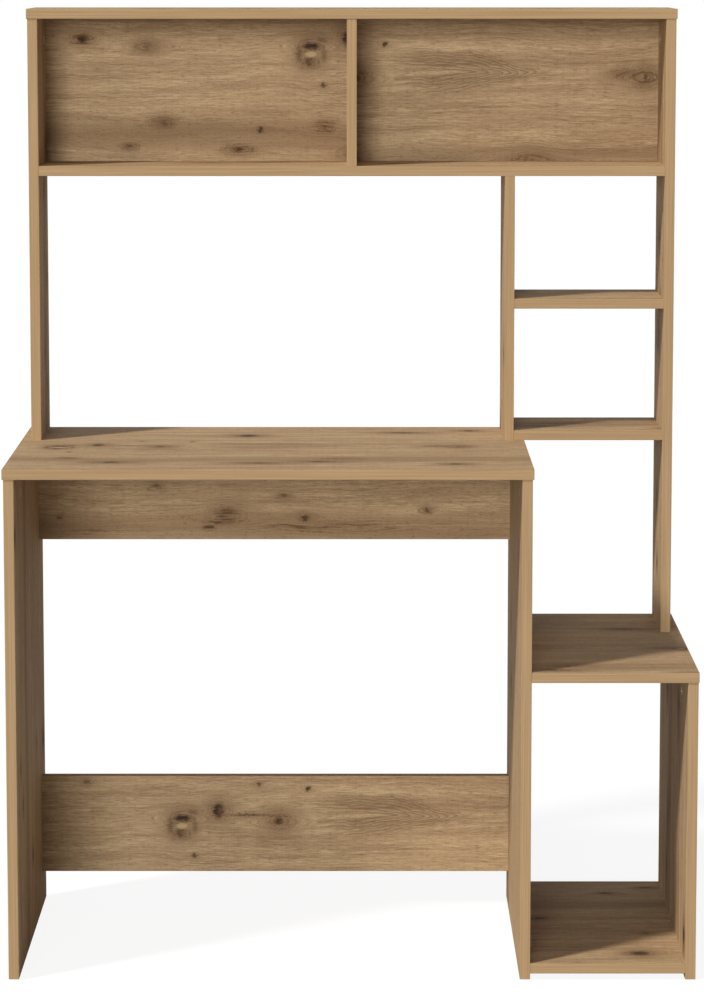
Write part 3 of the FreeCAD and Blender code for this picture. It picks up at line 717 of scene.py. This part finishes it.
# The bolt comes in 4.5 mm above the drum's foot: a chamber for its head, a window for the head to
# go in by and a slot for its neck. The mouth has a driver slot across it and a cross.
bolt_level = 0.0045 - cam_height / 2
chamber, window, neck_slot = 0.0037, 0.00325, 0.00205
outside = 0.008
for low, high in (
        ((-chamber, -chamber, -window), (chamber, chamber, window)),
        ((-window, 0, -window), (window, outside, window)),
        ((-neck_slot, -neck_slot, -neck_slot), (outside, outside, neck_slot))):
    carve(cam_lock, block(
        (*low[:2], bolt_level + low[2]), (*high[:2], bolt_level + high[2])))
slot_length, slot_width, slot_depth, above = 0.009, 0.0014, 0.0016, 0.007
carve(cam_lock, block(
    (-slot_width / 2, -slot_length / 2, mouth - slot_depth),
    (slot_width / 2, slot_length / 2, above)))
cut_cross(cam_lock, height=mouth - 0.0005, length=0.0056, width=0.0012, depth=0.0022)
arrow_place = (0.0056, 0, mouth - 0.0003)
bpy.ops.mesh.primitive_cylinder_add(
    vertices=3, radius=0.0008, depth=0.0003, location=arrow_place, rotation=(0, 0, -math.pi / 2))
arrow = bpy.context.object
bpy.ops.object.mode_set(mode="EDIT")
pick_faces(arrow, lambda middle, normal: normal.z > 0.9)
bpy.ops.transform.resize(value=(0.7, 0.7, 1), center_override=arrow_place)
bpy.ops.object.mode_set(mode="OBJECT")
arrow.select_set(True)
cam_lock.select_set(True)
bpy.context.view_layer.objects.active = cam_lock
bpy.ops.object.join()
rim = cam_lock.modifiers.new("rim", "BEVEL")
rim.width = 0.00018
rim.segments = 2
rim.limit_method = "ANGLE"
rim.angle_limit = math.radians(50)
bpy.ops.object.modifier_apply(modifier=rim.name)
bpy.ops.object.mode_set(mode="EDIT")
bpy.ops.mesh.select_all(action="SELECT")
bpy.ops.mesh.dissolve_degenerate(threshold=1e-6)
bpy.ops.mesh.quads_convert_to_tris(quad_method="BEAUTY", ngon_method="BEAUTY")
bpy.ops.object.mode_set(mode="OBJECT")
bpy.ops.object.shade_smooth_by_angle(angle=math.radians(35))

# The grain of a casting, the drawn lines of a plated bolt and the skin of a moulding are one
# mottle with different sizes.
mottle_group, start, end = new_group(
    "mottle", [("Place", "Vector", (0, 0, 0)), ("Grain", "Float", 1000.0)],
    [("Tone", "Float"), ("Height", "Float")])
clouds = add_node(mottle_group, "ShaderNodeTexNoise", {
    "Vector": start.outputs["Place"], "Scale": start.outputs["Grain"],
    "Detail": 3.0, "Roughness": 0.6}).outputs["Fac"]
pits = add_node(mottle_group, "ShaderNodeTexVoronoi", {
    "Vector": start.outputs["Place"],
    "Scale": sum_of(mottle_group, "MULTIPLY", start.outputs["Grain"], 2.0)}).outputs["Distance"]
feed(mottle_group, end.inputs["Tone"], clouds)
feed(mottle_group, end.inputs["Height"], sum_of(mottle_group, "ADD", clouds, pits))


def mottled(name, light, dark, grain, rough, metallic, relief):
    """A material of two close tones, its gloss uneven by the same mottle."""
    made, tree, shader = new_material(name)
    coordinates = tree.nodes.new("ShaderNodeTexCoord")
    mottle = add_node(tree, "ShaderNodeGroup", {}, node_tree=mottle_group)
    feed(tree, mottle.inputs["Place"], coordinates.outputs["Object"])
    feed(tree, mottle.inputs["Grain"], grain)
    feed(tree, shader.inputs["Base Color"], blend_of(
        tree, mottle.outputs["Tone"], tint(*dark), tint(*light)))
    feed(tree, shader.inputs["Roughness"], add_node(tree, "ShaderNodeMapRange", {
        "Value": mottle.outputs["Tone"], "From Min": 0.3, "From Max": 0.7,
        "To Min": rough[0], "To Max": rough[1]}).outputs[0])
    shader.inputs["Metallic"].default_value = metallic
    bump = add_node(tree, "ShaderNodeBump", {
        "Height": mottle.outputs["Height"], "Strength": 0.4, "Distance": relief})
    feed(tree, shader.inputs["Normal"], bump.outputs["Normal"])
    return made


cast_zinc = mottled(
    "cast_zinc", light=(212, 211, 208), dark=(176, 175, 172), grain=900.0,
    rough=(0.38, 0.52), metallic=1.0, relief=0.00008)
bolt_places = {}
for group in ("desk", "rail", "hutch"):
    bolts = solids_of(f"{group}_cam_bolts")
    places, bolt_places[group] = [], []
    for middle, size in solids_of(f"{group}_cam_locks"):
        bolt, bolt_size = min(bolts, key=lambda solid: (solid[0] - middle).length)
        up, forward = way_along(size, min), way_along(bolt_size, max)
        up *= math.copysign(1, (middle - bolt).dot(up))
        forward *= math.copysign(1, (bolt - middle).dot(forward))
        places.append(turned_to(middle, up, forward))
        bolt_places[group].append(turned_to(bolt, forward, up))
    lay_out(cam_lock, f"{group}_cam_locks", places, cast_zinc)
bpy.data.objects.remove(cam_lock)


# Cam bolts. A plated steel bolt is driven into one board's face down to the collar of its shank,
# and lies in a bore in the other board's end, with its head in the cam lock.
def turned_piece(sides, profile):
    """Turn a piece about Z from its lower end up. Each step is a height and a radius."""
    (height, radius), *steps = profile
    bpy.ops.object.select_all(action="DESELECT")
    bpy.ops.mesh.primitive_circle_add(
        vertices=sides, radius=radius, fill_type="NGON", location=(0, 0, height))
    made = bpy.context.object
    bpy.ops.object.transform_apply(location=True, rotation=True, scale=True)
    bpy.ops.object.mode_set(mode="EDIT")
    bpy.ops.mesh.select_all(action="SELECT")
    for next_height, next_radius in steps:
        bpy.ops.mesh.extrude_region_move(
            TRANSFORM_OT_translate={"value": (0, 0, next_height - height)})
        ratio = next_radius / radius
        bpy.ops.transform.resize(value=(ratio, ratio, 1), center_override=(0, 0, next_height))
        height, radius = next_height, next_radius
    bpy.ops.mesh.select_all(action="SELECT")
    bpy.ops.mesh.normals_make_consistent(inside=False)
    bpy.ops.object.mode_set(mode="OBJECT")
    bpy.ops.object.shade_smooth_by_angle(angle=math.radians(35))
    return made


def thread(first, last, root, crest, turns_of_thread):
    """The steps of a thread, from one height to another."""
    pitch = (last - first) / turns_of_thread
    steps = []
    for turn in range(turns_of_thread):
        foot = first + pitch * turn
        steps += [
            (foot, root), (foot + pitch * 0.35, root),
            (foot + pitch * 0.6, crest), (foot + pitch * 0.75, crest)]
    return steps + [(last, root)]


zinc_plate = mottled(
    "zinc_plated_steel", light=(226, 228, 230), dark=(196, 199, 202), grain=2600.0,
    rough=(0.2, 0.36), metallic=1.0, relief=0.00002)
bolt_end = 0.02165
shank, bolt_neck, bolt_edge = 0.003, 0.0018, 0.0027
head = [
    (-bolt_end, 0.0021), (-bolt_end + 0.0003, bolt_edge), (-0.0206, shank), (-0.0198, shank),
    (-0.01925, 0.0026), (-0.0191, bolt_neck)]
body = [
    (-0.0156, bolt_neck), (-0.01535, 0.0026), (-0.0149, shank), (0.0097, shank),
    (0.0099, bolt_edge), (0.0102, bolt_edge), (0.0104, shank), (0.0111, shank), (0.01115, 0.0019)]
cam_bolt = turned_piece(20, [
    *head, *body, *thread(0.0114, 0.0206, root=0.0017, crest=0.0024, turns_of_thread=5),
    (bolt_end, 0.0012)])
for group, places in bolt_places.items():
    lay_out(cam_bolt, f"{group}_cam_bolts", places, zinc_plate)
bpy.data.objects.remove(cam_bolt)

# Dowels. Fluted beech pins with chamfered ends, glued into one board's end and pushed into the
# other's face, keep the boards in line. The flutes let air and glue out.
dowel_end, dowel_radius, chamfer, chamfer_length = 0.015, 0.0039, 0.0009, 0.001
dowel_sides = 32
dowel = turned_piece(dowel_sides, [
    (-dowel_end, dowel_radius - chamfer), (-dowel_end + chamfer_length, dowel_radius),
    (dowel_end - chamfer_length, dowel_radius), (dowel_end, dowel_radius - chamfer)])
bpy.ops.object.mode_set(mode="EDIT")
pick_faces(dowel, lambda middle, normal: abs(normal.z) < 0.1 and round(
    math.atan2(middle.y, middle.x) / (2 * math.pi / dowel_sides) - 0.5) % 2 == 0)
flute_edge, flute_depth = 0.00008, 0.00028
bpy.ops.mesh.inset(thickness=flute_edge, depth=-flute_depth, use_individual=True)
bpy.ops.object.mode_set(mode="OBJECT")
beech, tree, shader = new_material("beech")
beech_dark, beech_light, fleck_tint = tint(196, 158, 120), tint(222, 188, 148), tint(150, 108, 74)
coordinates = tree.nodes.new("ShaderNodeTexCoord")
flecks = add_node(tree, "ShaderNodeTexVoronoi", {
    "Vector": coordinates.outputs["Object"], "Scale": 1400.0})
fleck = add_node(tree, "ShaderNodeMapRange", {
    "Value": flecks.outputs["Distance"], "From Min": 0.12, "From Max": 0.3,
    "To Min": 0.5, "To Max": 0.0}).outputs[0]
tone = add_node(tree, "ShaderNodeTexNoise", {
    "Vector": coordinates.outputs["Object"], "Scale": 240.0, "Detail": 3.0}).outputs["Fac"]
feed(tree, shader.inputs["Base Color"], blend_of(
    tree, fleck, blend_of(tree, tone, beech_dark, beech_light), fleck_tint))
feed(tree, shader.inputs["Roughness"], add_node(tree, "ShaderNodeMapRange", {
    "Value": tone, "To Min": 0.55, "To Max": 0.75}).outputs[0])
bump = add_node(tree, "ShaderNodeBump", {"Height": fleck, "Strength": 0.3, "Distance": 0.0001})
feed(tree, shader.inputs["Normal"], bump.outputs["Normal"])
for group in ("desk", "rail", "hutch"):
    places = []
    for middle, size in solids_of(f"{group}_dowels"):
        up = way_along(size, max)
        places.append(turned_to(middle, up, Vector((up.z, up.x, up.y))))
    lay_out(dowel, f"{group}_dowels", places, beech)
bpy.data.objects.remove(dowel)

# Hutch screws. Pan head screws go up through the desktop and the tower top into the lower ends of
# the uprights, their heads against the boards from below.
screw_end, pan, screw_shank = 0.0201, 0.004, 0.0019
under_head = -0.0179
screw = turned_piece(20, [
    (-screw_end, 0.0022), (-0.0200, 0.0029), (-0.0196, 0.0035), (-0.0190, 0.0039), (-0.0183, pan),
    (under_head, pan), (under_head + 1e-5, screw_shank), (-0.0100, screw_shank),
    *thread(-0.0096, 0.0164, root=0.0014, crest=0.002, turns_of_thread=13),
    (0.0188, 0.0007), (screw_end, 0.0001)])
cut_cross(screw, height=-screw_end, length=0.0042, width=0.0009, depth=-0.0015)
upwards, sideways = Vector((0, 0, 1)), Vector((1, 0, 0))
screw_places = [
    turned_to(middle, upwards, sideways) for middle, size in solids_of("hutch_screws")]
lay_out(screw, "hutch_screws", screw_places, zinc_plate)
bpy.data.objects.remove(screw)

# Floor glides. A brown plastic foot with a rounded edge keeps each panel 2 mm off the floor, and
# its ribbed pin is pushed up into the panel.
foot, pin, rib = 0.006, 0.0025, 0.003
glide = turned_piece(32, [
    (-0.006, 0.0046), (-0.00585, 0.0053), (-0.0055, 0.0058), (-0.005, foot), (-0.0043, foot),
    (-0.00405, 0.0058), (-0.004, 0.0055), (-0.00398, 0.0026), (-0.0030, 0.0026),
    (-0.0022, rib), (-0.0021, pin), (-0.0006, pin), (0.0002, rib), (0.0003, pin), (0.0018, pin),
    (0.0026, rib), (0.0027, pin), (0.0046, 0.0024), (0.006, 0.0014)])
glide_plastic = mottled(
    "glide_plastic", light=(133, 110, 88), dark=(116, 95, 75), grain=1500.0,
    rough=(0.4, 0.55), metallic=0.0, relief=0.00004)
glide_places = [
    turned_to(middle, upwards, sideways) for middle, size in solids_of("floor_glides")]
lay_out(glide, "floor_glides", glide_places, glide_plastic)
bpy.data.objects.remove(glide)


# The stage: a plain white floor under a plain white sky. To the camera both are paper white, and
# the floor keeps the shadow of the desk, faintly.
def background_white(tree, shader, light_of_its_own):
    """Mix a shader that lights the object with what the camera sees instead."""
    path = tree.nodes.new("ShaderNodeLightPath")
    return add_node(tree, "ShaderNodeMixShader", {
        0: path.outputs["Is Camera Ray"], 1: shader, 2: light_of_its_own})


floor_size = 120.0
bpy.ops.object.select_all(action="DESELECT")
bpy.ops.mesh.primitive_plane_add(size=floor_size, location=(0, 0, 0))
floor = bpy.context.object
floor.name = "floor"
floor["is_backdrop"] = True
floor_material = bpy.data.materials.new("floor_paper")
floor_material.use_nodes = True
tree = floor_material.node_tree
tree.nodes.clear()
pale = add_node(tree, "ShaderNodeBsdfDiffuse", {"Color": (0.5, 0.5, 0.5, 1)}).outputs[0]
faint = add_node(tree, "ShaderNodeBsdfDiffuse", {"Color": (0.15, 0.15, 0.15, 1)}).outputs[0]
glow = add_node(tree, "ShaderNodeEmission", {"Color": (1, 1, 1, 1), "Strength": 0.9}).outputs[0]
seen = add_node(tree, "ShaderNodeAddShader", {0: faint, 1: glow}).outputs[0]
mixed = background_white(tree, pale, seen)
add_node(tree, "ShaderNodeOutputMaterial", {"Surface": mixed.outputs[0]})
dress(floor, floor_material)

# The light: a key from the left and the front, 44 degrees up, a broad soft light from beside the
# camera, and a weak even surround. Two level lamps light only the back and the right side, and
# leave no sheen on the boards that they graze.
for name, direction, strength, width, lamp_tint in (
        ("key", (-1, -0.69, 1.19), 2.6, 6, (1.0, 0.985, 0.93)),
        ("front_light", (-0.17, -1, 0.16), 1.92, 20, (0.97, 1.0, 1.0)),
        ("back_light", (0, 1, 0), 1.5, 4, (1.0, 0.99, 0.96)),
        ("side_light", (1, 0, 0), 1.1, 4, (1.0, 0.99, 0.96))):
    lamp = bpy.data.lights.new(name, "SUN")
    lamp.energy = strength
    lamp.color = lamp_tint
    lamp.angle = math.radians(width)
    lamp_object = bpy.data.objects.new(name, lamp)
    lamp_object.visible_glossy = direction[1] < 0
    lamp_object.rotation_mode = "QUATERNION"
    lamp_object.rotation_quaternion = Vector(direction).to_track_quat("Z", "Y")
    bpy.context.scene.collection.objects.link(lamp_object)

world = bpy.data.worlds.new("surround")
bpy.context.scene.world = world
world.use_nodes = True
tree = world.node_tree
tree.nodes.clear()
path = tree.nodes.new("ShaderNodeLightPath")
direct = sum_of(tree, "MAXIMUM", path.outputs["Is Camera Ray"], sum_of(
    tree, "MAXIMUM", path.outputs["Is Glossy Ray"], path.outputs["Is Transmission Ray"]))
surround_strength, seen_strength = 0.13, 1.0
strength = add_node(tree, "ShaderNodeMapRange", {
    "Value": direct, "To Min": surround_strength, "To Max": seen_strength}).outputs[0]
sky_tint = blend_of(tree, direct, (0.88, 0.98, 1.1, 1), (1, 1, 1, 1))
sky = add_node(tree, "ShaderNodeBackground", {"Color": sky_tint, "Strength": strength}).outputs[0]
add_node(tree, "ShaderNodeOutputWorld", {"Surface": sky})

# The camera, 4.86 m from the front of the desk and a little above it, as the photograph was taken.
camera = bpy.data.cameras.new("camera")
camera.lens = 124.8
camera.sensor_width = 36.0
camera.shift_x = -0.0031
camera.shift_y = -0.15
camera.clip_start = 0.1
camera.clip_end = 200.0
camera_object = bpy.data.objects.new("camera", camera)
camera_object.location = (0.0049, -5.0804, 1.4764)
tilt_down = 6.469
camera_object.rotation_euler = (math.radians(90 - tilt_down), 0, 0)
bpy.context.scene.collection.objects.link(camera_object)
bpy.context.scene.camera = camera_object
bpy.context.scene.view_settings.view_transform = "Standard"

low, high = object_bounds()
